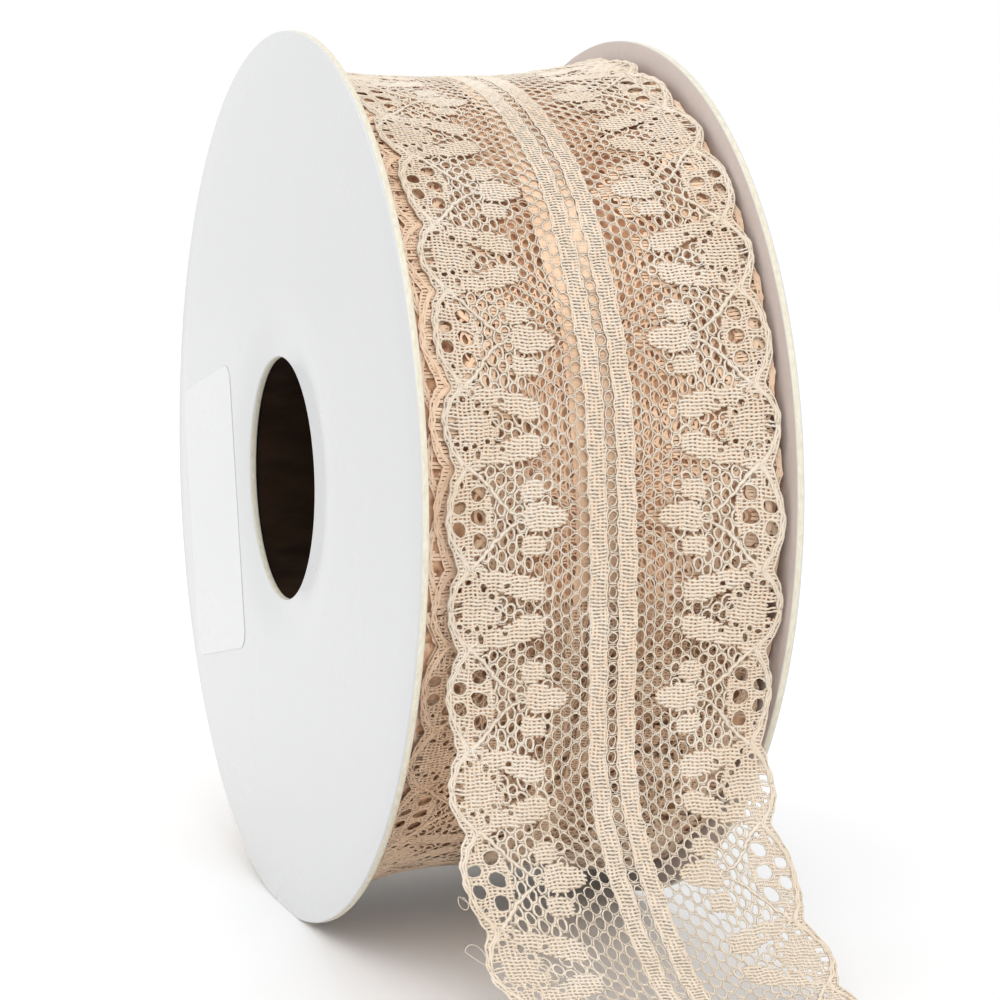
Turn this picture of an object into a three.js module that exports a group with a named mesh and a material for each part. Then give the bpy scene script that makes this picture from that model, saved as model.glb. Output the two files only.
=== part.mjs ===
// A spool of lace ribbon, in millimetres, +Z up.
// Two board flanges on a board core hold the wound lace, and its loose end comes down to the floor in front.
// The spool is measured with x = 0 on the near flange's outer face and its axis along X at y = z = 0.
// At the end it is moved so that the origin lies at the bottom centre of its bounding box.
import * as THREE from "three";

const DEGREE = Math.PI / 180;

// Flanges, core and sticker
const flangeRadius = 68;
const flangeThickness = 1.2;
const spoolWidth = 55.4;
const holeRadius = 18.7;
const restFlatWidth = 14;
const coreInner = 19.4;
const coreOuter = 21.4;
const seatGap = 0.3;
const label = { width: 33, height: 47, corner: 3, thickness: 0.2, y: 42.8, z: -9.8, tilt: 11.2 * DEGREE };

// Lace
const laceWidth = 48.4;
const scallopsPerTurn = 32;
const scallopDepth = 1.7;
const wrapThickness = 0.6;
const endThickness = 1;
const band = { inner: 0.6, outer: 3.4, height: 0.3, slope: 0.25 };

// The wound form: its waist, how far each end swells above it, and how the last wrap wanders
const waist = { radius: 61.6, x: 20 };
const nearSwell = { height: 1.3, sag: 0.9, reach: 18 };
const farSwell = { height: 3.6, reach: 33 };
const wander = { middle: 28.6, reach: 1 };
const underNear = 2;
const underFar = 53.7;

// The loose end: it leaves the roll below the front, and these are the crowns of its edges going down
const leaveAngle = 102.5 * DEGREE;
const endScallops = 8;
const fadeLength = 14;
const leftCrowns = [
  [5.4, -62.2, -13.8],
  [5.8, -60.9, -25.8],
  [5.4, -63.0, -37.9],
  [6.4, -66.8, -49.4],
  [8.4, -72.0, -60.3],
  [10.2, -81.8, -67.1],
];
const rightCrowns = [
  [53.8, -64.9, -14.4],
  [53.1, -62.9, -26.6],
  [53.2, -63.8, -38.9],
  [55.0, -67.2, -50.8],
  [57.6, -73.6, -61.2],
  [58.6, -84.4, -67.1],
];
const floorStep = [-1.2, -12.15, 0];

const look = {
  board: { color: 0xf1f1f2, roughness: 0.3 },
  kraft: { color: 0x4a3828, roughness: 0.85 },
  lace: { color: 0xe6d9c2, roughness: 0.9 },
  sticker: { color: 0xf4f4f5, roughness: 0.25 },
};

const flatAngle = Math.asin(restFlatWidth / 2 / flangeRadius);
const floorZ = -flangeRadius * Math.cos(flatAngle);
const scallopPitch = (2 * Math.PI * (waist.radius + 0.8)) / scallopsPerTurn;
const halfWidth = laceWidth / 2;
const leftEdge = edgeCurve(leftCrowns);
const rightEdge = edgeCurve(rightCrowns);

// The edge runs on along the floor from its last stated crown to the cut end
function edgeCurve(crowns) {
  const points = crowns.map((p) => new THREE.Vector3(...p));
  while (points.length <= endScallops) {
    points.push(points[points.length - 1].clone().add(new THREE.Vector3(...floorStep)));
  }
  return new THREE.CatmullRomCurve3(points);
}

// How far the edge is drawn in from its crowns, for a place counted in scallops
function drawIn(place) {
  const from = Math.abs(place - Math.round(place)) * 2;
  return scallopDepth * from * from;
}

// Radius of the lace on the roll; the angle runs from the top over the front
function laceRadius(x, angle) {
  const near = Math.max(0, (waist.x - x) / nearSwell.reach);
  const far = Math.max(0, (x - waist.x) / farSwell.reach);
  const height = nearSwell.height - nearSwell.sag * Math.cos(angle);
  return waist.radius + height * near * near + farSwell.height * far * far;
}

// Where the middle of the last wrap lies along the axis
function wrapMiddle(angle) {
  return wander.middle + wander.reach * Math.cos(angle - leaveAngle);
}

// Stations across the lace, with the rise of its two woven bands
function acrossStations() {
  const flank = band.inner + band.slope;
  const shoulder = band.outer - band.slope;
  const side = [
    { u: band.inner, rise: 0 },
    { u: flank, rise: band.height },
    { u: shoulder, rise: band.height },
    { u: band.outer, rise: 0 },
    { u: 9, rise: 0 },
    { u: 16, rise: 0 },
    { u: halfWidth, rise: 0, edge: 1 },
  ];
  const mirrored = side.map((s) => ({ ...s, u: -s.u, edge: s.edge && -1 })).reverse();
  return [...mirrored, ...side];
}

function named(name, geometry, finish) {
  const mesh = new THREE.Mesh(geometry, new THREE.MeshStandardMaterial({ metalness: 0, ...finish }));
  mesh.name = name;
  return mesh;
}

function placeVertices(geometry, place) {
  const position = geometry.getAttribute("position");
  for (let i = 0; i < position.count; i++) {
    position.setXYZ(i, ...place(i, position.getX(i), position.getY(i), position.getZ(i)));
  }
  geometry.deleteAttribute("normal");
  geometry.deleteAttribute("uv");
  return geometry;
}

// Lays an outline's thickness along the spool's axis, from x on; the outline's x axis then points down
function alongAxis(mesh, x) {
  mesh.rotation.y = Math.PI / 2;
  mesh.position.x = x;
  return mesh;
}

function ring(outline, inner, depth, curveSegments) {
  const hole = new THREE.Path();
  hole.absarc(0, 0, inner, 0, 2 * Math.PI, true);
  outline.holes.push(hole);
  return new THREE.ExtrudeGeometry(outline, { depth, curveSegments, bevelEnabled: false });
}

// A board disc with a hole, and a short flat where it rests
function flange(name, x) {
  const outline = new THREE.Shape();
  outline.absarc(0, 0, flangeRadius, flatAngle, 2 * Math.PI - flatAngle, false);
  outline.closePath();
  return alongAxis(named(name, ring(outline, holeRadius, flangeThickness, 48), look.board), x);
}

function coreTube() {
  const outline = new THREE.Shape();
  outline.absarc(0, 0, coreOuter, 0, 2 * Math.PI, false);
  const start = flangeThickness + seatGap;
  const geometry = ring(outline, coreInner, spoolWidth - 2 * start, 24);
  return alongAxis(named("core_tube", geometry, look.kraft), start);
}

// The wound lace: a closed profile, turned, with the last wrap standing on the scalloped ends below it
function laceRoll() {
  const steps = scallopsPerTurn * 4;
  const below = (side) => [{ side, part: "bore" }, { side, part: "rim" }, { side, part: "foot" }];
  const profile = [...below(-1), ...acrossStations(), ...below(1).reverse()];
  profile.push(profile[0]);
  const outline = profile.map((s, k) => new THREE.Vector2(coreOuter + k, 0));
  const geometry = placeVertices(new THREE.LatheGeometry(outline, steps), (i) => {
    const angle = ((Math.floor(i / profile.length) % steps) / steps) * 2 * Math.PI;
    const [x, radius] = rollPoint(profile[i % profile.length], angle);
    return [x, -radius * Math.sin(angle), radius * Math.cos(angle)];
  });
  return named("lace_roll", geometry, look.lace);
}

// Place along the axis, and radius, of one station of the roll's profile
function rollPoint(station, angle) {
  const count = ((angle - leaveAngle) / (2 * Math.PI)) * scallopsPerTurn;
  const middle = wrapMiddle(angle);
  if (station.u !== undefined) {
    const x = middle + station.u - (station.edge ? station.edge * drawIn(count) : 0);
    return [x, laceRadius(x, angle) + station.rise];
  }
  const foot = middle + station.side * (halfWidth - drawIn(count));
  if (station.part === "foot") return [foot, laceRadius(foot, angle) - wrapThickness];
  const rim = (station.side < 0 ? underNear : underFar) - station.side * drawIn(count + 0.4);
  const x = station.side < 0 ? Math.min(rim, foot - 0.4) : Math.max(rim, foot + 0.4);
  const held = Math.min(Math.max(x, flangeThickness + seatGap), spoolWidth - flangeThickness - seatGap);
  return [held, station.part === "bore" ? coreOuter + seatGap : laceRadius(held, angle) - wrapThickness];
}

// Middle of the loose end's thickness: straight across between its edges, but at first
// sunk to follow the roll's hollow waist
function endPoint(u, along) {
  const t = along / (endScallops * scallopPitch);
  const left = leftEdge.getPoint(t);
  const right = rightEdge.getPoint(t);
  const point = left.clone().lerp(right, (u + halfWidth) / laceWidth);
  const share = (point.x - left.x) / (right.x - left.x);
  const ends = laceRadius(left.x, leaveAngle) * (1 - share) + laceRadius(right.x, leaveAngle) * share;
  const fade = Math.max(0, 1 - along / fadeLength) ** 2;
  point.y += (ends - laceRadius(point.x, leaveAngle)) * fade;
  point.z = Math.max(point.z, floorZ + endThickness / 2);
  return point;
}

function endNormal(u, along) {
  const step = 0.5;
  const from = Math.min(Math.max(along, step), endScallops * scallopPitch - step);
  const across = endPoint(u + step, from).sub(endPoint(u - step, from));
  const down = endPoint(u, from + step).sub(endPoint(u, from - step));
  return down.cross(across).normalize();
}

// The loose end: a flat box bent along its two edge curves
function laceEnd() {
  const stations = acrossStations();
  const lengths = endScallops * 4;
  const count = stations.length - 1;
  const box = new THREE.BoxGeometry(count, lengths, 1, count, lengths, 1);
  const geometry = placeVertices(box, (i, x, y, z) => {
    const station = stations[Math.round(x + count / 2)];
    const along = (0.5 - y / lengths) * endScallops * scallopPitch;
    const drawn = station.edge ? station.edge * drawIn(along / scallopPitch) : 0;
    const lift = z > 0 ? endThickness / 2 + station.rise : -endThickness / 2;
    const point = endPoint(station.u - drawn, along);
    return point.addScaledVector(endNormal(station.u * 0.9, along), lift).toArray();
  });
  return named("lace_end", geometry, look.lace);
}

function sticker() {
  const { width, height, corner, thickness: depth, tilt } = label;
  const outline = new THREE.Shape();
  const arcs = [
    [width / 2 - corner, height / 2 - corner, 0],
    [corner - width / 2, height / 2 - corner, 90],
    [corner - width / 2, corner - height / 2, 180],
    [width / 2 - corner, corner - height / 2, 270],
  ];
  arcs.forEach(([x, y, from]) => outline.absarc(x, y, corner, from * DEGREE, (from + 90) * DEGREE, false));
  const geometry = new THREE.ExtrudeGeometry(outline, { depth, curveSegments: 3, bevelEnabled: false });
  const mesh = named("label", geometry, look.sticker);
  const up = new THREE.Vector3(0, Math.sin(tilt), Math.cos(tilt));
  const side = new THREE.Vector3(0, -Math.cos(tilt), Math.sin(tilt));
  const basis = new THREE.Matrix4().makeBasis(side, up, new THREE.Vector3(-1, 0, 0));
  mesh.quaternion.setFromRotationMatrix(basis);
  mesh.position.set(-seatGap, label.y, label.z);
  return mesh;
}

const spool = new THREE.Group();
spool.add(flange("flange_near", 0), flange("flange_far", spoolWidth - flangeThickness));
spool.add(coreTube(), laceRoll(), laceEnd(), sticker());
spool.updateMatrixWorld(true);

const bounds = new THREE.Box3().setFromObject(spool, true);
const centre = bounds.getCenter(new THREE.Vector3());
spool.position.set(-centre.x, -centre.y, -bounds.min.z);

export default spool;
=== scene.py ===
import math

import bpy
import numpy as np
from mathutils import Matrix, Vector


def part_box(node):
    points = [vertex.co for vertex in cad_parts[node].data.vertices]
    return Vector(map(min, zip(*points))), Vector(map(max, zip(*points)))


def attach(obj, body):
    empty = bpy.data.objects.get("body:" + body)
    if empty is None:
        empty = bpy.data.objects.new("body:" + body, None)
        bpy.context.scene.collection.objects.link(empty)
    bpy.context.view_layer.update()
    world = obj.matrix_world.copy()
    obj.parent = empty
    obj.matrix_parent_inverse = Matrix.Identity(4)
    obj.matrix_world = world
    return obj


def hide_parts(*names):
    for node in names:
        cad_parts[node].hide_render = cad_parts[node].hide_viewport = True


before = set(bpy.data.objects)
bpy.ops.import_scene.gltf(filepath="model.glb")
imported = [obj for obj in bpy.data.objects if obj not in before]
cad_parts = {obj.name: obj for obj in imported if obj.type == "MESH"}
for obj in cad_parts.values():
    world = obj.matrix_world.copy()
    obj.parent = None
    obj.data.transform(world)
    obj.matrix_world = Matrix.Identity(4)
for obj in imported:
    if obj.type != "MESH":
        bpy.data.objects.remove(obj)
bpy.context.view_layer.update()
print("frame loaded")

mm = 0.001
fullTurn = 2 * math.pi

# The spool's sizes in millimetres, measured with x = 0 on the near flange's outer face and the axis along x
spool = dict(
    flangeRadius=68.0,
    flangeThickness=1.2,
    width=55.4,
    holeRadius=18.7,
    restFlat=14.0,  # length of the flat that each flange stands on
)
nearLow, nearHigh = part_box("flange_near")
flatAngle = math.asin(spool["restFlat"] / 2 / spool["flangeRadius"])
axisHeight = spool["flangeRadius"] * math.cos(flatAngle)
spoolPlace = np.array([nearLow.x / mm, (nearLow.y + nearHigh.y) / 2 / mm, axisHeight])


def toScene(points):  # spool millimetres to scene metres
    return (np.asarray(points, float) + spoolPlace) * mm


def aboutAxis(x, radius, angle):  # the angle runs from the top over the front
    return np.stack([x, -radius * np.sin(angle), radius * np.cos(angle)], -1)


def addObject(name, data):
    made = bpy.data.objects.new(name, data)
    bpy.context.scene.collection.objects.link(made)
    return made


# Camera
shot = dict(eye=(-102.2, -371.6, 35.3), target=(36.2, 0.0, -4.64), lens=89.9, sensor=36, clipStart=0.01)
cameraData = bpy.data.cameras.new("camera")
cameraData.lens = shot["lens"]
cameraData.sensor_width = shot["sensor"]
cameraData.clip_start = shot["clipStart"]
camera = addObject("camera", cameraData)
eyePlace, targetPlace = toScene(shot["eye"]), toScene(shot["target"])
camera.location = eyePlace
camera.rotation_euler = Vector(targetPlace - eyePlace).to_track_quat("-Z", "Y").to_euler()
bpy.context.scene.camera = camera
print("camera set")


# Shader expressions: a socket that takes + and * and feeds other nodes
class Wire:
    def __init__(self, finish, socket):
        self.finish, self.socket = finish, socket

    def math(self, operation, other):
        return self.finish.node("ShaderNodeMath", dict(operation=operation), {0: self, 1: other})

    def __add__(self, other):
        return self.math("ADD", other)

    def __mul__(self, other):
        return self.math("MULTIPLY", other)


class Finish:
    def __init__(self, name, **constants):
        self.material = bpy.data.materials.new(name)
        self.material.use_nodes = True
        self.nodes = self.material.node_tree.nodes
        self.links = self.material.node_tree.links
        self.shader = self.nodes["Principled BSDF"]
        for socket, value in constants.items():
            self.shader.inputs[socket.replace("_", " ")].default_value = value

    def node(self, kind, settings, sockets, out=0):
        made = self.nodes.new(kind)
        for key, value in settings.items():
            setattr(made, key, value)
        for key, value in sockets.items():
            self.join(made.inputs[key], value)
        return Wire(self, made.outputs[out])

    def join(self, socket, value):
        if isinstance(value, Wire):
            self.links.new(value.socket, socket)
        else:
            socket.default_value = value

    def place(self, stretch=(1, 1, 1)):
        at = self.node("ShaderNodeTexCoord", {}, {}, "Object")
        return self.node("ShaderNodeMapping", {}, {"Vector": at, "Scale": stretch})

    def noise(self, scale, detail, stretch=(1, 1, 1)):
        sockets = {"Vector": self.place(stretch), "Scale": scale, "Detail": detail}
        return self.node("ShaderNodeTexNoise", {}, sockets, "Fac")

    def colours(self, value, places, colours):  # from one colour to another between two values
        made = self.node("ShaderNodeValToRGB", {}, {"Fac": value})
        elements = made.socket.node.color_ramp.elements
        for element, place, colour in zip(elements, places, colours):
            element.position, element.color = place, (*colour, 1)
        return made

    def blend(self, factor, a, b):
        settings = dict(data_type="RGBA", blend_type="MIX")
        return self.node("ShaderNodeMix", settings, {0: factor, 6: a, 7: b}, 2)

    def bump(self, height, strength, distance):  # distance in millimetres
        sockets = {"Height": height, "Strength": strength, "Distance": distance * mm}
        return self.node("ShaderNodeBump", {}, sockets)

    def feed(self, **wires):
        for socket, wire in wires.items():
            self.links.new(wire.socket, self.shader.inputs[socket.replace("_", " ")])
        return self.material


# The wound lace, on the same form as the solid roll. Places along it are counted in scallops from where the
# loose end leaves the roll, and fall going back along the lace. A fade is (where it starts, its length), and
# a wave is (height, turns across, turns along, start)
wound = dict(
    scallopsPerTurn=32,
    leaveAngle=math.radians(102.5),
    waistRadius=61.6,
    pitchRise=0.8,  # how far above the waist the scallops' pitch is measured
    waistX=20.0,
    nearHeight=1.3,
    nearSag=0.9,
    nearReach=18.0,
    farHeight=3.6,
    farReach=33.0,
    middle=28.6,
    wander=1.0,
    halfWidth=24.2,
    scallopDepth=1.7,
    between=(1.45, 53.95),  # where the flanges hold the lace in
    wrapStep=0.42,  # how much lower each turn lies than the one over it
    underShift=-2.0,  # how far the turn under the last one lies towards the near flange
    underFade=(-16, -11),
    deeperSpread=(-0.5, 2.1),  # how far the near and far edges of the turn below lie from those over them
    deeperSlip=0.42,  # scallops by which that turn is out of step
    deeperFade=(-64, -0.5),
    skew=0.1,  # scallops by which the near edge runs ahead of the far one
    lift=0.95,  # how far the loose end stands off as it leaves the roll
    liftFade=(-2.5, 2.5),
    join=0.8,  # scallops on each side of the leaving line over which the roll passes into the loose end
    sideWaves=[(0.25, 0, 0.9, 0), (0.15, 0, 2.3, 1)],
    heightWaves=[(0.12, 0.11, 1.7, 0), (0.1, -0.2, 0.6, 0)],
)
scallop = fullTurn * (wound["waistRadius"] + wound["pitchRise"]) / wound["scallopsPerTurn"]
looseEnd = dict(
    scallops=8,
    fadeLength=14.0,  # how far the roll's hollow waist is followed
    leftCrowns=[
        (5.4, -62.2, -13.8),
        (5.8, -60.9, -25.8),
        (5.4, -63.0, -37.9),
        (6.4, -66.8, -49.4),
        (8.4, -72.0, -60.3),
        (10.2, -81.8, -67.1),
    ],
    rightCrowns=[
        (53.8, -64.9, -14.4),
        (53.1, -62.9, -26.6),
        (53.2, -63.8, -38.9),
        (55.0, -67.2, -50.8),
        (57.6, -73.6, -61.2),
        (58.6, -84.4, -67.1),
    ],
    floorStep=(-1.2, -12.15, 0.0),
    clearFloor=0.35,
    ripples=[(0.5, 0.13, 1.1, 0), (0.25, 0.33, -1, 0)],
    rippleFade=(1, 2),
)


def fade(value, start, length):  # smoothly from 0 at start to 1 at start + length
    held = np.clip((value - start) / length, 0, 1)
    return held * held * (3 - 2 * held)


def waves(rows, u, along):
    return sum(height * np.sin(u * a + along * b + start) for height, a, b, start in rows)


def laceRadius(x, angle):
    near = np.maximum(0, (wound["waistX"] - x) / wound["nearReach"])
    far = np.maximum(0, (x - wound["waistX"]) / wound["farReach"])
    height = wound["nearHeight"] - wound["nearSag"] * np.cos(angle)
    return wound["waistRadius"] + height * near**2 + wound["farHeight"] * far**2


def edgeCurve(crowns, place):  # a smooth curve through the crowns, running on along the floor
    points = [np.array(p) for p in crowns]
    step = np.array(looseEnd["floorStep"])
    while len(points) < looseEnd["scallops"] + 3:
        points.append(points[-1] + step)
    points = np.array([2 * points[0] - points[1], *points])
    start = np.clip(np.floor(place).astype(int), 0, looseEnd["scallops"])
    f = (place - start)[:, None]
    a, b, c, d = (points[start + k] for k in range(4))
    curve = 2 * b + (c - a) * f + (2 * a - 5 * b + 4 * c - d) * f**2 + (3 * b - a - 3 * c + d) * f**3
    return curve / 2


def rollPlace(u, place):
    turn = fullTurn / wound["scallopsPerTurn"]
    place = place - wound["skew"] * (0.5 - u / (2 * wound["halfWidth"]))
    deeper = fade(place, *wound["deeperFade"])
    shift = wound["underShift"] * fade(place, *wound["underFade"])
    shift += deeper * np.where(u > 0, wound["deeperSpread"][1], wound["deeperSpread"][0])
    place = place + wound["deeperSlip"] * deeper
    angle = wound["leaveAngle"] + place * turn
    middle = wound["middle"] + wound["wander"] * np.cos(place * turn) + shift
    x = np.clip(middle + u + waves(wound["sideWaves"], u, place), *wound["between"])
    radius = laceRadius(x, angle) + wound["wrapStep"] * place / wound["scallopsPerTurn"]
    radius += waves(wound["heightWaves"], u, place)
    radius += wound["lift"] * fade(place, *wound["liftFade"])
    return aboutAxis(x, radius, angle)


def endPlace(u, place):
    left = edgeCurve(looseEnd["leftCrowns"], place - wound["skew"])
    right = edgeCurve(looseEnd["rightCrowns"], place)
    share = ((u + wound["halfWidth"]) / (2 * wound["halfWidth"]))[:, None]
    point = left * (1 - share) + right * share
    leave = wound["leaveAngle"]
    ends = laceRadius(left[:, 0], leave) * (1 - share[:, 0]) + laceRadius(right[:, 0], leave) * share[:, 0]
    sunk = np.maximum(0, 1 - place * scallop / looseEnd["fadeLength"]) ** 2
    point[:, 1] += (ends - laceRadius(point[:, 0], leave)) * sunk
    point[:, 1] += fade(place, *looseEnd["rippleFade"]) * waves(looseEnd["ripples"], u, place)
    point[:, 2] = np.maximum(point[:, 2], looseEnd["clearFloor"] - axisHeight)
    return point


def sheetPlace(u, s):  # u across from the middle, s along from where the loose end leaves, in millimetres
    place = s / scallop
    loose = place > 0
    out = np.empty((len(u), 3))
    out[~loose] = rollPlace(u[~loose], place[~loose])
    out[loose] = endPlace(u[loose], place[loose])
    near = np.abs(place) < wound["join"]
    if near.any():
        leaving = np.zeros(near.sum())
        gap = endPlace(u[near], leaving + 1e-6) - rollPlace(u[near], leaving)
        side = np.where(place[near] > 0, -0.5, 0.5)[:, None]
        out[near] += gap * side * (1 - fade(np.abs(place[near]), 0, wound["join"])[:, None])
    return out


def onSheet(flat):  # flat lace (u, s, height) laid onto the form
    u, s, height = flat.T
    step = 0.3
    across = sheetPlace(u + step, s) - sheetPlace(u - step, s)
    along = sheetPlace(u, s + step) - sheetPlace(u, s - step)
    normal = np.cross(along, across)
    normal /= np.linalg.norm(normal, axis=1, keepdims=True)
    return sheetPlace(u, s) + normal * height[:, None]


# Threads, gathered as tubes in flat lace. Two sides make a flat thread
class Threads:
    def __init__(self, sides=3):
        self.sides = sides
        self.points, self.quads, self.ends, self.count = [], [], [], 0

    # Lines are (lines, points, 3), and behind is how much painted shade, a darker and warmer tone, they take
    def lay(self, lines, width, height, closed=False, behind=0.0):
        lines = np.asarray(lines, float)
        many, long = lines.shape[:2]
        sides = self.sides
        if closed:
            run = np.roll(lines, -1, 1) - np.roll(lines, 1, 1)
        else:
            run = np.gradient(lines, axis=1)
        run[..., 2] = 0
        run /= np.maximum(np.linalg.norm(run, axis=2, keepdims=True), 1e-9)
        side = np.stack([-run[..., 1], run[..., 0], np.zeros((many, long))], -1)
        side *= np.broadcast_to(width, (long,))[:, None]
        up = np.array([0, 0, height])
        corners = np.arange(sides) * fullTurn / sides + (math.pi / 2 if sides > 2 else 0)
        rings = [(side * math.cos(c) + up * math.sin(c)) / 2 for c in corners]
        points = (lines[:, :, None] + np.stack(rings, 2)).reshape(-1, 3)
        points = np.column_stack([points, np.full(len(points), behind)])
        index = self.count + np.arange(many * long * sides).reshape(many, long, sides)
        after = np.roll(index, -1, 1) if closed else index[:, 1:]
        before = index if closed else index[:, :-1]
        quads = np.stack([before, after, np.roll(after, -1, 2), np.roll(before, -1, 2)], -1)
        self.quads.append(quads[:, :, : sides if sides > 2 else 1].reshape(-1, 4))
        if not closed:
            for k in range(1, sides - 1):
                self.ends.append(index[:, 0, [0, k, k + 1]])
                self.ends.append(index[:, -1, [0, k + 1, k]])
        self.points.append(points)
        self.count += len(points)

    def flat(self):
        ends = np.concatenate(self.ends) if self.ends else np.empty((0, 3), int)
        return np.concatenate(self.points), np.concatenate(self.quads), ends


# One repeat of the lace, charted on one side of its middle and two scallops long. In a place (e, s),
# e runs in from the crowns and s along from the middle of a filled scallop
chart = dict(
    notch=5.45,  # from a filled scallop's middle to the notches beside it
    margin=3.0,  # how far in from the crowns the edge is dense
    motif=11.5,  # how far in the net's cells are tighter and less even
    fans=[  # the dense work about the petal at the edge, and about the large holes
        dict(at=(3.4, 0.0), half=(4.6, 4.8)),
        dict(at=(3.7, scallop), half=(3.3, 5.1)),
    ],
    petals=[  # and leaves
        dict(at=(4.6, 0.1), half=(2.1, 1.8), turn=0, power=3.6, taper=0.0),
        dict(at=(9.2, 3.5), half=(5.2, 1.4), turn=-17, power=3.0, taper=-0.45),
        dict(at=(9.2, -3.5), half=(5.2, 1.4), turn=17, power=3.0, taper=-0.45),
        dict(at=(14.5, scallop), half=(3.2, 1.85), turn=0, power=2.4, taper=0.35),
        dict(at=(12.7, scallop + 3.9), half=(1.85, 1.4), turn=10, power=2.8, taper=0.1),
        dict(at=(12.7, scallop - 3.6), half=(1.8, 1.35), turn=-8, power=2.8, taper=0.1),
        dict(at=(3.4, 5.5), half=(1.9, 1.1), turn=0, power=2.4, taper=0.2),
        dict(at=(3.4, -5.5), half=(1.9, 1.1), turn=0, power=2.4, taper=0.2),
    ],
    holes=[  # (e, s, half across, half along) of the larger holes
        (1.3, -0.85, 0.95, 0.4),
        (1.4, 0.9, 0.85, 0.42),
        (1.75, -2.7, 0.75, 0.38),
        (2.0, 2.35, 0.5, 0.32),
        (3.15, -3.7, 0.6, 0.42),
        (3.3, 3.0, 0.55, 0.35),
        (5.4, -3.0, 0.5, 0.65),
        (5.1, 3.9, 0.5, 0.62),
        (4.7, -4.6, 0.4, 0.45),
        (4.5, 2.6, 0.4, 0.4),
        (6.4, 2.2, 0.42, 0.42),
        (6.5, -1.8, 0.45, 0.42),
        (7.5, -0.2, 0.58, 0.55),
        (8.8, -3.3, 0.5, 0.45),
        (8.6, 3.2, 0.45, 0.4),
        (2.05, scallop - 1.45, 1.0, 0.92),
        (2.05, scallop + 1.4, 1.02, 0.95),
        (4.8, scallop - 3.15, 1.1, 1.08),
        (4.9, scallop, 1.25, 1.12),
        (4.85, scallop + 3.15, 1.15, 1.05),
        (2.5, scallop - 4.5, 0.3, 0.55),
        (2.5, scallop + 4.2, 0.32, 0.5),
    ],
    # (e, distance from the open scallop's middle) of the arch of cord that springs from the notches
    arch=[(3.3, 7.0), (5.1, 5.5), (6.3, 4.0), (7.5, 2.6), (9.0, 1.3), (10.5, 0.45)],
    archRing=(10.9, scallop, 0.8, 0.62),
    crossing=3.5,  # how far in the short cords cross
    rays=[  # (across, along, width) of each short cord
        (-1.3, 1.6, 0.45),
        (-1.3, -1.5, 0.45),
        (1.1, 1.1, 0.4),
        (1.2, -1.1, 0.4),
        (1.7, 0.0, 0.45),
    ],
)
repeatLength = 2 * scallop


def alongFrom(s, at):  # distance along, with the repeat running round
    return (s - at + repeatLength / 2) % repeatLength - repeatLength / 2


def drawIn(s):  # how far the scalloped edge lies in from the crowns
    away, notch = np.abs(alongFrom(s, 0)), chart["notch"]
    share = np.where(away < notch, away / notch, (scallop - away) / (scallop - notch))
    return wound["scallopDepth"] * share**2


def petalDepth(petal, e, s):  # under 1 inside the petal
    x, y = e - petal["at"][0], alongFrom(s, petal["at"][1])
    c, d = math.cos(math.radians(petal["turn"])), math.sin(math.radians(petal["turn"]))
    x, y = c * x + d * y, -d * x + c * y
    half, taper = petal["half"], petal["taper"]
    width = half[1] * np.clip(1 - taper * x / half[0], 0.15, 2)
    return np.abs(x / half[0]) ** petal["power"] + np.abs(y / width) ** petal["power"]


def clothDepth(e, s):
    return np.min([petalDepth(petal, e, s) for petal in chart["petals"]], axis=0)


def holeDepth(hole, e, s):  # under 1 inside a hole, and the larger ones are squarer
    power = 3 if hole[2] > 0.8 else 2
    return np.abs((e - hole[0]) / hole[2]) ** power + np.abs(alongFrom(s, hole[1]) / hole[3]) ** power


def fanDepth(e, s):
    depths = []
    for fan in chart["fans"]:
        at, half = fan["at"], fan["half"]
        depths.append(((e - at[0]) / half[0]) ** 2 + (alongFrom(s, at[1]) / half[1]) ** 2)
    return np.min(depths, axis=0)


def runs(inside):  # (first, last) of each run of True
    edges = np.flatnonzero(np.diff(np.concatenate([[0], inside.astype(int), [0]])))
    return edges.reshape(-1, 2) - [0, 1]


def straight(a, b, points):  # a line from a to b
    share = np.linspace(0, 1, points)[:, None]
    return np.array(a) * (1 - share) + np.array(b) * share


def mirrored(lines):  # the same lines on both sides of the middle
    lines = np.asarray(lines, float)
    other = lines.copy()
    other[..., 0] *= -1
    return np.concatenate([lines, other])


def fromEdge(lines):  # lines given by distance in from the crowns
    lines = np.asarray(lines, float).copy()
    lines[..., 0] = wound["halfWidth"] - lines[..., 0]
    return lines


def ringsAt(places, points, height):  # uneven rounds about (a, s, half across, half along)
    angle = np.arange(points) * fullTurn / points + 0.3
    a, s, halfAcross, halfAlong = np.asarray(places, float).T[:4, :, None]
    uneven = 1 + 0.09 * np.sin(2 * angle + a * 2.1 + s * 3.3)
    across = a + np.cos(angle) * halfAcross * uneven
    along = s + np.sin(angle) * halfAlong * uneven
    return np.stack([across, along, 0 * along + height], -1)


# The net of rounds, joined by short arms, and the ladder of rounds between the two bands
net = dict(
    column=1.335,
    first=4.05,  # from the lace's middle to the first column
    last=1.3,  # from the crowns to the last one
    rowsPerScallop=6,
    ring=(0.745, 0.95),
    ringPoints=8,
    width=0.26,
    motifWidth=0.44,
    height=0.22,
    arm=[(-0.45, -0.06, 0.02), (0, 0.06, 0.05), (0.45, -0.06, 0.02)],
    armWidth=0.19,
    armHeight=0.15,
    # A cell is left out where the petals' or the fans' depth is under these limits, or where it is nearer
    # to the edge or to a larger hole than these
    petalLimit=0.9,
    fanLimit=0.85,
    edgeClear=1.8,
    holeClear=(0.3, 0.35),
    motifLimit=2.2,  # the depth of a petal about which the cells are tighter
)
ladder = dict(
    ring=(0.62, 0.78),
    width=0.27,
    height=0.2,
    armWidth=0.2,
    armHeight=0.14,
    armsApart=0.14,
    armStretch=1.6,
)
netRow = scallop / net["rowsPerScallop"]
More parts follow.
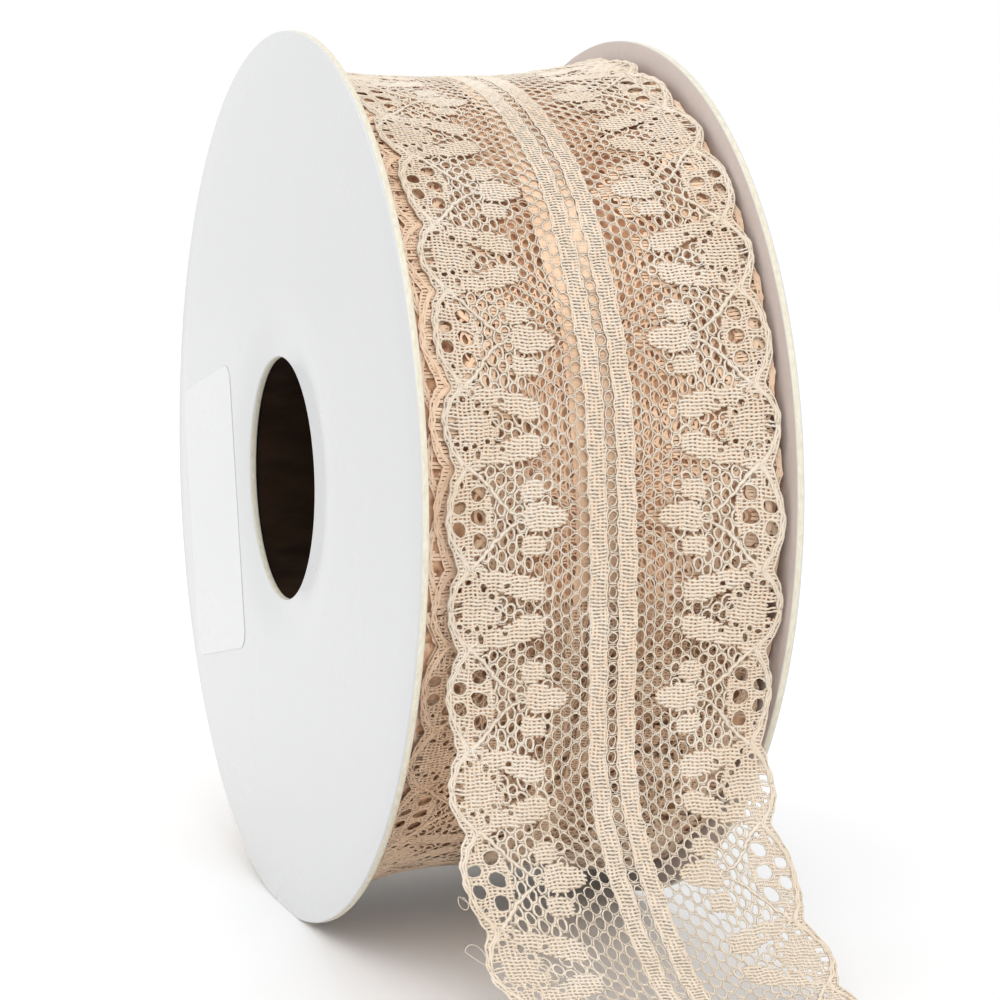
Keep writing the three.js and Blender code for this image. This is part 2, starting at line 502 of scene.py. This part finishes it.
netRows = np.arange(2 * net["rowsPerScallop"]) * netRow


def cellLeftOut(e, s, fine):
    wider, longer = net["holeClear"]
    holes = [(h[0], h[1], h[2] + wider, h[3] + longer) for h in chart["holes"]]
    return (
        clothDepth(e, s) < net["petalLimit"]
        or min(holeDepth(hole, e, s) for hole in holes) < 1
        or e < drawIn(s) + net["edgeClear"]
        or (fine and fanDepth(e, s) < net["fanLimit"])
    )


def netCells(fine):  # (e, s, half across, half along, width of thread) of each open cell on one side
    cells = []
    columns = int((wound["halfWidth"] - net["last"] - net["first"]) / net["column"]) + 1
    for column in range(columns):
        e = wound["halfWidth"] - net["first"] - column * net["column"]
        for s in (netRows + netRow / 2 * (column % 2)) % repeatLength:
            if cellLeftOut(e, s, fine):
                continue
            size, stray, width = 1.0, 0.0, net["width"]
            if e < chart["motif"] + 0.8 * math.sin(s * 1.1) or clothDepth(e, s) < net["motifLimit"]:
                size = 0.93 + 0.07 * math.sin(e * 5.1 + s * 2.3)
                stray = 0.12 * math.sin(e * 3.7 - s * 4.3)
                width = net["motifWidth"]
            cells.append((e + stray, s - stray * 0.7, net["ring"][0] * size, net["ring"][1] * size, width))
    return np.array(cells)


def netThreads(threads, fine):
    cells = netCells(fine)
    for width in (net["width"], net["motifWidth"]):
        same = cells[cells[:, 4] == width]
        rings = ringsAt(same, net["ringPoints"], 0)
        threads.lay(mirrored(fromEdge(rings)), width, net["height"], closed=True)
    rungs = [(0, s, *ladder["ring"]) for s in netRows]
    threads.lay(ringsAt(rungs, net["ringPoints"], 0), ladder["width"], ladder["height"], closed=True)
    if fine:
        arm = np.array(net["arm"])
        middles = np.column_stack([cells[:, 0], cells[:, 1] + netRow / 2, 0 * cells[:, 0]])
        threads.lay(mirrored(fromEdge(middles[:, None] + arm)), net["armWidth"], net["armHeight"])
        middles = np.column_stack([0 * netRows, netRows + netRow / 2, 0 * netRows])
        arm = arm * [ladder["armStretch"], 1, 1]
        for apart in (-ladder["armsApart"], ladder["armsApart"]):
            lines = middles[:, None] + arm + [0, apart, 0]
            threads.lay(lines, ladder["armWidth"], ladder["armHeight"])


# Clothwork: lines across, swelling where the lengthwise threads behind them cross. Steps, overlaps and
# distances between points are in millimetres, and the shortest lines in steps
cloth = dict(
    linesPerRow=4,
    reach=(0.3, 21),
    step=0.1,
    shortest=3,
    overlap=0.12,
    pointsApart=0.45,
    coveredPointsApart=4.0,
    petalWidth=0.5,
    fanWidth=0.4,
    coveredWidth=0.37,
    bead=0.16,  # how much the lines swell at each crossing thread
    height=0.16,
    level=0.1,
    sway=0.03,
)
behindCloth = dict(
    reach=(1.2, 18),
    shortest=6,
    overlap=0.1,
    pointsApart=1.5,
    width=0.55,
    height=0.08,
    level=0.06,
    sway=(0.06, 3.1),
    shadeTone=0.85,  # how much painted shade, darker and warmer, they take
)


def clothAt(e, s, fine):
    filled = (clothDepth(e, s) < 1) | (e < chart["margin"] + drawIn(s) * 0.8)
    if fine:
        filled |= fanDepth(e, s) < 1
    filled &= e > drawIn(s) + cloth["reach"][0]
    for hole in chart["holes"]:
        filled &= holeDepth(hole, e, s) > 1
    return filled


def beads(points, swell, first=0, mean=1):  # widths that swell at every other point
    return mean + swell * (-1.0) ** (np.arange(points) + first)


def clothThreads(threads, fine):
    pitch, level = netRow / cloth["linesPerRow"], cloth["level"]
    apart = cloth["pointsApart"] if fine else cloth["coveredPointsApart"]
    e = np.arange(*cloth["reach"], cloth["step"])
    for number, s in enumerate(np.arange(pitch / 2, repeatLength, pitch)):
        for first, last in runs(clothAt(e, s, fine)):
            if last - first < cloth["shortest"]:
                continue
            a, b = e[first] - cloth["overlap"], e[last] + cloth["overlap"]
            line = straight((a, s, level), (b, s, level), 2 + int((b - a) / apart))
            width = cloth["coveredWidth"]
            if fine:
                inPetal = clothDepth(line[:, 0], s) < 1
                line[:, 1] += cloth["sway"] * np.sin(line[:, 0] * fullTurn / net["column"] + number * math.pi)
                width = np.where(inPetal, cloth["petalWidth"], cloth["fanWidth"])
                width = width * beads(len(line), cloth["bead"], number)
            threads.lay(mirrored([fromEdge(line)]), width, cloth["height"])


# lengthwise threads behind the clothwork, which carry painted shade
def threadsBehind(threads):
    swayHeight, swayTurn = behindCloth["sway"]
    level = behindCloth["level"]
    s = np.arange(0, repeatLength, cloth["step"])
    for e in np.arange(*behindCloth["reach"], net["column"] / 2):
        for first, last in runs(clothAt(e, s, True)):
            if last - first < behindCloth["shortest"]:
                continue
            a, b = s[first] - behindCloth["overlap"], s[last] + behindCloth["overlap"]
            line = straight((e, a, level), (e, b, level), 2 + int((b - a) / behindCloth["pointsApart"]))
            line[:, 0] += swayHeight * np.sin(line[:, 1] * swayTurn)
            width, height = behindCloth["width"], behindCloth["height"]
            threads.lay(mirrored([fromEdge(line)]), width, height, behind=behindCloth["shadeTone"])


# The two woven bands: ribs across, lengthwise threads behind them, and a cord along each side
bands = dict(
    inner=0.85,
    outer=3.35,
    ribsPerRow=4,
    overhang=0.08,
    sway=(0.05, 7.3),
    ribWidth=0.93,  # as a share of the petals' lines
    ribHeight=0.17,
    level=0.1,
    arch=0.05,  # how much a rib rises at its middle
    behind=dict(threads=4, inset=0.3, points=13, level=0.08, width=0.62, height=0.08),
    cord=dict(points=73, coveredPoints=25, level=0.12, scallop=0.07, width=0.32, height=0.18),
)


def bandThreads(threads, fine):
    inner, outer, overhang = bands["inner"], bands["outer"], bands["overhang"]
    s = (np.arange(2 * net["rowsPerScallop"] * bands["ribsPerRow"]) + 0.5) * netRow / bands["ribsPerRow"]
    sway = bands["sway"][0] * np.sin(s * bands["sway"][1])
    share = np.linspace(0, 1, 7 if fine else 2)
    ribs = np.zeros((len(s), len(share), 3))
    ribs[..., 0] = inner - overhang + share * (outer - inner + 2 * overhang) + sway[:, None]
    ribs[..., 1] = s[:, None]
    ribs[..., 2] = bands["level"] + bands["arch"] * np.sin(share * math.pi)
    for odd in (0, 1):
        width = cloth["petalWidth"] * bands["ribWidth"] * beads(len(share), cloth["bead"], odd)
        threads.lay(mirrored(ribs[odd::2]), width, bands["ribHeight"])
    behind = bands["behind"]
    for u in np.linspace(inner + behind["inset"], outer - behind["inset"], behind["threads"]):
        line = straight((u, 0, behind["level"]), (u, repeatLength, behind["level"]), behind["points"])
        # the threads behind the bands carry painted shade
        threads.lay(mirrored([line]), behind["width"], behind["height"], behind=behindCloth["shadeTone"])
    cord = bands["cord"]
    points = cord["points"] if fine else cord["coveredPoints"]
    for u, way in ((inner, 1), (outer, -1)):
        line = straight((u, 0, cord["level"]), (u, repeatLength, cord["level"]), points)
        line[:, 0] += way * cord["scallop"] * np.cos(line[:, 1] / netRow * fullTurn)
        threads.lay(mirrored([line]), cord["width"], cord["height"])


# The thick cords along the scalloped edge, in the arches and round the larger holes
cords = dict(
    # (place in from the edge, depth at the notches, width)
    strands=[(0.2, 1.7, 0.42), (0.42, 2.7, 0.62), (0.74, 2.7, 0.52)],
    points=49,
    coveredPoints=33,
    coveredWidth=0.62,  # as a share of the width
    coveredBead=0.16,
    sway=0.07,
    level=0.12,
    height=0.36,
    archWidth=(0.88, 0.46),
    archPoints=19,
    archBead=0.22,
    archLevel=0.17,
    ringedFrom=1.9,  # holes further in than this have a cord round them
    ringPoints=10,
    holeRing=dict(wider=0.1, longer=0.12, width=0.34, height=0.24, level=0.1),
    archRing=dict(width=0.48, height=0.3, level=0.12),
    rayHeight=0.28,
    rayPoints=4,
)


def edgeCords(threads, fine):
    points = cords["points"] if fine else cords["coveredPoints"]
    s = np.linspace(0, repeatLength, points)
    turns = s / repeatLength * fullTurn
    for strand, (inward, depth, width) in enumerate(cords["strands"]):
        sway = cords["sway"] * np.sin(turns * (9 + 2 * strand) + strand * 2)
        height = cords["level"] + 0.05 * strand + 0.05 * np.sin(turns * 11 + strand * 2.1)
        edge = np.stack([inward + sway + drawIn(s) * (depth / wound["scallopDepth"]), s, height], -1)
        if not fine:
            width = width * beads(points, cords["coveredBead"], mean=cords["coveredWidth"])
        threads.lay(mirrored([fromEdge(edge)]), width, cords["height"])


def archCords(threads):
    arch, points = np.array(chart["arch"]), cords["archPoints"]
    count = np.linspace(0, len(arch) - 1, points)
    e, away = (np.interp(count, range(len(arch)), arch[:, k]) for k in (0, 1))
    width = np.linspace(*cords["archWidth"], points) * beads(points, cords["archBead"])
    for way in (1, -1):
        line = np.stack([e, scallop + way * away, 0 * e + cords["archLevel"]], -1)
        line[1:-1] = (line[:-2] + 2 * line[1:-1] + line[2:]) / 4
        line[:, 0] += 0.12 * np.sin(np.arange(points) * 1.9)
        threads.lay(mirrored([fromEdge(line)]), width, cords["height"])


def ringCords(threads):
    ring, top = cords["holeRing"], cords["archRing"]
    wider, longer = ring["wider"], ring["longer"]
    holes = [(h[0], h[1], h[2] + wider, h[3] + longer) for h in chart["holes"] if h[0] > cords["ringedFrom"]]
    rings = ringsAt(holes, cords["ringPoints"], ring["level"])
    threads.lay(mirrored(fromEdge(rings)), ring["width"], ring["height"], closed=True)
    rings = ringsAt([chart["archRing"]], cords["ringPoints"], top["level"])
    threads.lay(mirrored(fromEdge(rings)), top["width"], top["height"], closed=True)


def rayCords(threads):
    crossing = chart["crossing"]
    for at in (chart["notch"], repeatLength - chart["notch"]):
        for across, along, width in chart["rays"]:
            start = (crossing, at, cords["archLevel"])
            line = straight(start, (crossing + across, at + along, cords["level"]), cords["rayPoints"])
            line[1:3, 0] += 0.12 * np.sign(along)
            threads.lay(mirrored([fromEdge(line)]), width, cords["rayHeight"])


def laceRepeat(fine):  # the covered turns aren't fine: their threads are flat and coarser
    threads = Threads(3 if fine else 2)
    netThreads(threads, fine)
    clothThreads(threads, fine)
    if fine:
        threadsBehind(threads)
    bandThreads(threads, fine)
    edgeCords(threads, fine)
    archCords(threads)
    if fine:
        ringCords(threads)
    rayCords(threads)
    return threads.flat()


def edgesOnly(parts, kept):  # the repeat without its middle
    points, quads, ends = parts
    outer = np.abs(points[:, 0]) > wound["halfWidth"] - kept
    number = np.cumsum(outer) - 1
    return points[outer], *(number[faces[outer[faces].all(1)]] for faces in (quads, ends))


def meshFrom(name, points, quads, triangles=(), flatPlaces=None):
    mesh = bpy.data.meshes.new(name)
    mesh.vertices.add(len(points))
    mesh.vertices.foreach_set("co", np.ascontiguousarray(points, np.float32).ravel())
    corners = np.concatenate([np.ravel(quads), np.ravel(triangles)]).astype(np.int32)
    sizes = np.concatenate([np.full(len(quads), 4), np.full(len(triangles), 3)])
    mesh.loops.add(len(corners))
    mesh.loops.foreach_set("vertex_index", corners)
    mesh.polygons.add(len(sizes))
    starts = np.concatenate([[0], np.cumsum(sizes)[:-1]]).astype(np.int32)
    mesh.polygons.foreach_set("loop_start", starts)
    mesh.update(calc_edges=True)
    mesh.polygons.foreach_set("use_smooth", np.ones(len(sizes), bool))
    if flatPlaces is not None:
        low, high = flatPlaces.min(0), flatPlaces.max(0)
        places = (flatPlaces - low) / (high - low)
        mesh.uv_layers.new(name="OFBake").uv.foreach_set("vector", places[corners].astype(np.float32).ravel())
    mesh.validate()
    return addObject(name, mesh)


# Lace finish: cream, with painted shade, a darker and warmer tone, where the lace lies under another turn and
# on the threads behind
thread = dict(
    stops=(0.32, 0.66),
    top=((0.77, 0.65, 0.51), (0.82, 0.745, 0.64)),
    # painted shade: darker, warmer colours for lace that lies under another turn
    shadedUnder=((0.74, 0.49, 0.315), (0.89, 0.66, 0.47)),
)


def threadFinish():
    f = Finish("lace_thread", Roughness=0.75, Sheen_Weight=0.15, Sheen_Roughness=0.4, Specular_IOR_Level=0.25)
    broad, fine = f.noise(90, 3), f.noise(1500, 2)
    mottle = broad * 0.65 + fine * 0.35
    top = f.colours(mottle, thread["stops"], thread["top"])
    shadedUnder = f.colours(mottle, thread["stops"], thread["shadedUnder"])
    # the painted shade attribute mixes in the shaded under colours
    painted_shade = f.node("ShaderNodeAttribute", dict(attribute_name="painted_shade"), {}, "Fac")
    return f.feed(Base_Color=f.blend(painted_shade, top, shadedUnder), Normal=f.bump(fine, 0.5, 0.05))


laceThread = threadFinish()

# The laid lace, in pieces of whole repeats
laid = dict(
    repeats=4,
    edge=5.5,  # width of the edges that are laid of the third turn
    paintedShadeFade=(-23, -7),  # from where the last turn lies over the lace, the painted shade fades in
    edgeShadeLoss=0.25,  # how much less painted shade its edges take
    edgeShadeLossFade=(19, 4),
    behindShadeLoss=0.7,  # how much of their painted shade the threads behind lose on the loose end
    behindFade=(1, 3),
    # Small hand-scale unevenness
    acrossWaves=[(0.1, 0.21, 0.83, 0), (0.07, -1.1, 2.3, 0), (0.035, 8.3, 6.1, 0)],
    alongWaves=[(0.12, 0.67, 0.13, 0), (0.07, 2.1, 0.9, 0), (0.035, 7.1, -8.9, 0)],
    heightWaves=[(0.06, 2.7, 1.9, 0)],
)


def unevenly(flat):
    u, s = flat.T[:2]
    moves = [waves(laid[rows], u, s) for rows in ("acrossWaves", "alongWaves", "heightWaves")]
    return flat[:, :3] + np.stack(moves, -1)


def paintedShadeTone(flat):  # painted shade: 1 where another turn lies over the lace
    place = flat[:, 1] / scallop
    painted_shade = fade(place, *laid["paintedShadeFade"])
    painted_shade *= 1 - laid["edgeShadeLoss"] * fade(np.abs(flat[:, 0]), *laid["edgeShadeLossFade"])
    behind = flat[:, 3] * (1 - laid["behindShadeLoss"] * fade(place, *laid["behindFade"]))
    return np.maximum(painted_shade, behind).astype(np.float32)


def layLace(name, repeatParts, first):
    points, quads, ends = repeatParts
    many = range(laid["repeats"])
    flat = np.concatenate([points + [0, (first + k) * repeatLength, 0, 0] for k in many])
    quads = np.concatenate([quads + k * len(points) for k in many])
    ends = np.concatenate([ends + k * len(points) for k in many])
    piece = meshFrom(name, toScene(onSheet(unevenly(flat))), quads, ends, flat[:, :2])
    piece.data.attributes.new("painted_shade", "FLOAT", "POINT").data.foreach_set("value", paintedShadeTone(flat))
    piece.data.materials.append(laceThread)
    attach(piece, "root")
    return piece


repeatTop, repeatUnder = laceRepeat(True), laceRepeat(False)
for parts in (repeatTop, repeatUnder):
    print("one repeat:", len(parts[1]) * 2 + len(parts[2]), "triangles")

looseLace = layLace("loose_end", repeatTop, 0)
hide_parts("lace_end")
flatSize = (2 * wound["halfWidth"] * mm, laid["repeats"] * repeatLength * mm)
scallopLoss = 2 * wound["scallopDepth"] / 3 * mm  # what both scalloped edges take off the mean width
flatArea = (flatSize[0] - scallopLoss) * flatSize[1]

# Loops of thread that stand out from the loose end's near edge
strays = dict(
    width=0.13,
    points=22,
    tailPoints=4,
    loops=[  # (middle, half sizes, first and last angle, reach in from the edge)
        ((-25.0, 39.6), (0.75, 0.95), -60, 250, 1.2),
        ((-25.2, 46.9), (1.3, 1.8), 30, -150, 0.6),
    ],
)


def strayThreads():
    threads = Threads()
    for at, size, first, last, reach in strays["loops"]:
        a = np.radians(np.linspace(first, last, strays["points"]))
        height = 0.4 + 0.5 * np.sin(a * 0.7)
        loop = np.stack([at[0] + size[0] * np.cos(a), at[1] + size[1] * np.sin(a), height], -1)
        root = np.array([reach - wound["halfWidth"], at[1] + size[1], 0.1])
        tail = straight(loop[-1], root, strays["tailPoints"])[1:]
        threads.lay([np.concatenate([loop, tail])], strays["width"], strays["width"])
    points, quads, ends = threads.flat()
    piece = meshFrom("stray_threads", toScene(onSheet(points[:, :3])), quads, ends, points[:, :2])
    piece.data.attributes.new("painted_shade", "FLOAT", "POINT")
    piece.data.materials.append(laceThread)
    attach(piece, "root")


strayThreads()
turnRepeats = wound["scallopsPerTurn"] // 2
for k in range(turnRepeats // laid["repeats"]):
    back = laid["repeats"] * (k + 1)
    layLace(f"top_wrap_{k + 1}", repeatTop, -back)
    layLace(f"under_wrap_{k + 1}", repeatUnder, -turnRepeats - back)
    layLace(f"deeper_edges_{k + 1}", edgesOnly(repeatUnder, laid["edge"]), -2 * turnRepeats - back)
print("lace laid")


def turnedQuads(steps, many):  # the faces of a closed profile of many points, turned in steps round the axis
    index = np.arange(steps * many).reshape(steps, many)
    ahead, beside = np.roll(index, -1, 0), np.roll(index, -1, 1)
    return np.stack([index, ahead, np.roll(ahead, -1, 1), beside], -1)


# The turns below, as one scalloped form, in painted shade: dark brown to tan for cream lace in shadow
deepWraps = dict(
    stepsPerScallop=8,
    ends=(1.9, 53.6),
    bore=22.0,
    rimStep=1.4,  # how far the rims lie under the last turn
    step=1.2,  # the same for the rest
    middle=28,
    half=23,
    columns=24,
    slip=0.4,  # scallops by which its rims are out of step with the last turn
    ripple=(0.1, 2.1),
    stops=(0.2, 0.68),
    # painted shade: the cream turns below, in the shade of those above, as dark brown to tan
    colours=((0.27, 0.11, 0.05), (0.8, 0.5, 0.31)),
)


def deepRoll():
    across = np.linspace(-deepWraps["half"], deepWraps["half"], deepWraps["columns"])
    profile = [(-1, "bore"), (-1, "rim")] + [(0, u) for u in across] + [(1, "rim"), (1, "bore")]
    scallops = wound["scallopsPerTurn"]
    steps = scallops * deepWraps["stepsPerScallop"]
    angle = np.arange(steps) * fullTurn / steps
    place = (angle - wound["leaveAngle"]) / fullTurn * scallops
    low, high = deepWraps["ends"]
    height, turn = deepWraps["ripple"]
    columns = []
    for side, part in profile:
        if side:
            x = (low if side < 0 else high) - side * drawIn((place + deepWraps["slip"]) * scallop)
            radius = laceRadius(x, angle) - deepWraps["rimStep"]
            if part == "bore":
                radius = deepWraps["bore"] + 0 * x
        else:
            x = deepWraps["middle"] + part + 0 * angle
            radius = laceRadius(x, angle) - deepWraps["step"] + height * np.sin(place * turn + part)
        columns.append(aboutAxis(x, radius, angle))
    points = np.stack(columns, 1).reshape(-1, 3)
    return meshFrom("deep_wraps", toScene(points), turnedQuads(steps, len(profile)).reshape(-1, 4))


def deepShadeFinish():
    f = Finish("deep_wraps", Roughness=0.9, Specular_IOR_Level=0.2)
    sockets = {"Vector": f.place(), "Scale": 620.0}
    # painted shade: darker cells for the shadowed holes of the turns below
    cells = f.node("ShaderNodeTexVoronoi", dict(feature="F1"), sockets, "Distance")
    broad = f.noise(120, 3)
    shade = f.colours(cells * 0.75 + broad * 0.35, deepWraps["stops"], deepWraps["colours"])
    return f.feed(Base_Color=shade, Normal=f.bump(cells, 0.8, 0.3))


deep = deepRoll()
deep.data.materials.append(deepShadeFinish())
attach(deep, "root")
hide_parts("lace_roll")
print("deep wraps made")

# Board flanges with a rolled shoulder where the die cut them
board = dict(
    shoulder=0.28,
    steps=240,
    faceRows=(30, 50, 62),
    rimFrom=60,  # rows further out than this keep to the flat that the flange stands on
    footFrom=-0.9,  # cosine of the angle from which the flat is looked for
    stops=(0.3, 0.7),
    coatedStops=(0.3, 0.75),
    coated=((0.59, 0.593, 0.597), (0.62, 0.622, 0.625)),
    cut=((0.66, 0.61, 0.47), (0.78, 0.745, 0.62)),
    # the flanges' plain inner faces, darker and pinker as painted shade and light bounced off the lace
    plainShaded=((0.54, 0.465, 0.425), (0.6, 0.52, 0.48)),
)


def boardProfile():  # (across the board from its outer face, radius, 1 on the cut edge)
    t, r = spool["flangeThickness"], spool["flangeRadius"]
    hole, s = spool["holeRadius"], board["shoulder"]
    return [
        *((0, row, 0) for row in board["faceRows"]),
        (0, r - s, 0),
        (s * 0.12, r - s * 0.5, 0),
        (s * 0.45, r - s * 0.13, 0),
        (s, r, 1),
        (t / 2, r + 0.03, 1),
        (t - s * 0.5, r, 1),
        (t - 0.06, r - 0.07, 0),
        (t, r - 0.2, 0),
        *((t, row, 0) for row in reversed(board["faceRows"])),
        (t, hole + 0.2, 0),
        (t - 0.06, hole + 0.07, 0),
        (t - 0.2, hole, 1),
        (t / 2, hole - 0.03, 1),
        (s, hole, 1),
        (s * 0.4, hole + 0.1, 0),
        (0, hole + s, 0),
    ]


def boardFlange(name, x, outward):
    t, r = spool["flangeThickness"], spool["flangeRadius"]
    profile, steps = boardProfile(), board["steps"]
    many = len(profile)
    angle = np.arange(steps) * fullTurn / steps
    foot = np.cos(angle) < board["footFrom"]
    flatLine = np.where(foot, axisHeight / np.maximum(-np.cos(angle), 0.1), np.inf)
    rows = []
    for across, radius, _ in profile:
        held = radius + 0 * angle
        if radius > board["rimFrom"]:
            held = np.minimum(held, flatLine - max(r - radius, 0))
        rows.append(aboutAxis(x + (across if outward < 0 else t - across) + 0 * angle, held, angle))
    points = np.stack(rows, 1).reshape(-1, 3)
    quads = turnedQuads(steps, many)
    if outward > 0:
        quads = quads[..., ::-1]
    piece = meshFrom(name, toScene(points), quads.reshape(-1, 4))
    after = profile[1:] + profile[:1]
    cut = np.array([a[2] and b[2] for a, b in zip(profile, after)])
    # the inner faces take the plain board with painted shade and bounce light
    inner = np.array([min(a[0], b[0]) > t - 0.1 for a, b in zip(profile, after)])
    for material in (coatedBoard, cutBoard, plainShadedBoard):
        piece.data.materials.append(material)
    piece.data.polygons.foreach_set("material_index", np.tile(cut + 2 * inner, steps).astype(np.int32))
    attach(piece, "root")
    return piece


def coatedFinish():
    f = Finish("coated_board", Specular_IOR_Level=0.5, Coat_Roughness=0.12, Coat_Weight=0.35)
    broad, fine = f.noise(14, 2), f.noise(420, 3)
    shade = f.colours(broad * 0.8 + fine * 0.2, board["coatedStops"], board["coated"])
    return f.feed(Base_Color=shade, Roughness=broad * 0.14 + 0.2, Normal=f.bump(fine, 0.12, 0.05))


def cutFinish():
    f = Finish("cut_board", Specular_IOR_Level=0.3, Roughness=0.8)
    fibre = f.noise(900, 3, stretch=(3, 1, 1))
    shade = f.colours(fibre, board["stops"], board["cut"])
    return f.feed(Base_Color=shade, Normal=f.bump(fibre, 0.5, 0.08))


def plainShadedFinish():
    f = Finish("plain_board_painted_shade", Specular_IOR_Level=0.35)
    broad, fine = f.noise(20, 3), f.noise(700, 3)
    shade = f.colours(broad * 0.6 + fine * 0.4, board["stops"], board["plainShaded"])
    return f.feed(Base_Color=shade, Roughness=fine * 0.15 + 0.5, Normal=f.bump(fine, 0.2, 0.05))


coatedBoard, cutBoard, plainShadedBoard = coatedFinish(), cutFinish(), plainShadedFinish()
nearFlange = boardFlange("near_board", 0, -1)
farFlange = boardFlange("far_board", spool["width"] - spool["flangeThickness"], 1)
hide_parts("flange_near")
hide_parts("flange_far")
print("flanges made")

# The core tube's own solid shows, in brown board darkened almost to black as painted shade for the inside of
# the hole
shadedKraft = dict(stops=(0.3, 0.75), colours=((0.012, 0.006, 0.003), (0.032, 0.017, 0.009)))


def shadedKraftFinish():
    f = Finish("kraft_tube_painted_shade", Roughness=0.88, Specular_IOR_Level=0.1)
    fibre = f.noise(260, 4, stretch=(0.4, 1, 1))
    # painted shade: near-black brown for the shadowed inside of the tube
    shade = f.colours(fibre, shadedKraft["stops"], shadedKraft["colours"])
    return f.feed(Base_Color=shade, Normal=f.bump(fibre, 0.4, 0.1))


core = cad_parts["core_tube"]
core.data.materials.clear()
core.data.materials.append(shadedKraftFinish())
print("core finished")

# Blank sticker
sticker = dict(
    width=33.0,
    height=47.0,
    corner=3.0,
    cornerPoints=7,
    y=42.8,
    z=-9.8,
    tilt=math.radians(11.2),
    # (share of the outline, x) of its rings, from the board outwards
    rings=[(1.0, -0.02), (1.0, -0.09), (0.994, -0.11)],
    stops=(0.3, 0.7),
    colours=((0.635, 0.638, 0.643), (0.66, 0.662, 0.667)),
)


def stickerMesh():
    w, h, r = sticker["width"] / 2, sticker["height"] / 2, sticker["corner"]
    outline = []
    for cx, cy, start in ((w - r, h - r, 0), (r - w, h - r, 90), (r - w, r - h, 180), (w - r, r - h, 270)):
        for a in np.radians(np.linspace(start, start + 90, sticker["cornerPoints"])):
            outline.append((cx + r * math.cos(a), cy + r * math.sin(a)))
    outline = np.array(outline)
    c, d = math.cos(sticker["tilt"]), math.sin(sticker["tilt"])
    points = []
    for share, x in sticker["rings"]:
        a, b = (outline * share).T
        points.append(np.stack([0 * a + x, sticker["y"] - c * a + d * b, sticker["z"] + d * a + c * b], -1))
    points = np.concatenate(points)
    first, middle, last = np.arange(len(points)).reshape(3, -1)
    faces = []
    for low, high in ((first, middle), (middle, last)):
        faces += np.stack([low, np.roll(low, -1), np.roll(high, -1), high], -1).tolist()
    mesh = bpy.data.meshes.new("blank_sticker")
    mesh.from_pydata(toScene(points).tolist(), [], faces + [last.tolist(), first[::-1].tolist()])
    return mesh


def stickerFinish():
    f = Finish("blank_sticker", Coat_Weight=0.4, Coat_Roughness=0.08)
    cloud = f.noise(30, 2)
    shade = f.colours(cloud, sticker["stops"], sticker["colours"])
    return f.feed(Base_Color=shade, Roughness=cloud * 0.1 + 0.22)


def blankSticker():
    piece = addObject("blank_sticker", stickerMesh())
    piece.data.materials.append(stickerFinish())
    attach(piece, "root")
    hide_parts("label")


blankSticker()
print("sticker made")

# Stage
stage = dict(
    half=3.0,
    floor=(0.92, 0.92, 0.92, 1),
    around=1.0,
    sun=0.95,
    softness=50,
    sunFrom=(-0.25, -0.75, 0.75),
    side=0.18,
    sideSize=0.25,
    sideFrom=(-0.3, 0.2, 0.28),
    sideAt=(-0.03, 0.03, 0.07),
)


def softSun():
    data = bpy.data.lights.new("key", "SUN")
    data.energy, data.angle = stage["sun"], math.radians(stage["softness"])
    light = addObject("key", data)
    light.rotation_euler = Vector(stage["sunFrom"]).to_track_quat("Z", "Y").to_euler()


def sideLight():
    data = bpy.data.lights.new("side", "AREA")
    data.shape, data.size, data.energy = "DISK", stage["sideSize"], stage["side"]
    light = addObject("side", data)
    light.location = stage["sideFrom"]
    direction = Vector(stage["sideFrom"]) - Vector(stage["sideAt"])
    light.rotation_euler = direction.to_track_quat("Z", "Y").to_euler()


def paleFloor():
    mesh = bpy.data.meshes.new("floor")
    h = stage["half"]
    mesh.from_pydata([(-h, -h, 0), (h, -h, 0), (h, h, 0), (-h, h, 0)], [], [(0, 1, 2, 3)])
    floor = addObject("floor", mesh)
    f = Finish("pale_floor", Specular_IOR_Level=0.3, Base_Color=stage["floor"], Roughness=0.4)
    mesh.materials.append(f.material)


paleFloor()
softSun()
sideLight()
world = bpy.data.worlds.new("studio")
world.use_nodes = True
world.node_tree.nodes["Background"].inputs["Color"].default_value = (1, 1, 1, 1)
world.node_tree.nodes["Background"].inputs["Strength"].default_value = stage["around"]
bpy.context.scene.world = world
bpy.context.scene.view_settings.view_transform = "Standard"
print("stage set")
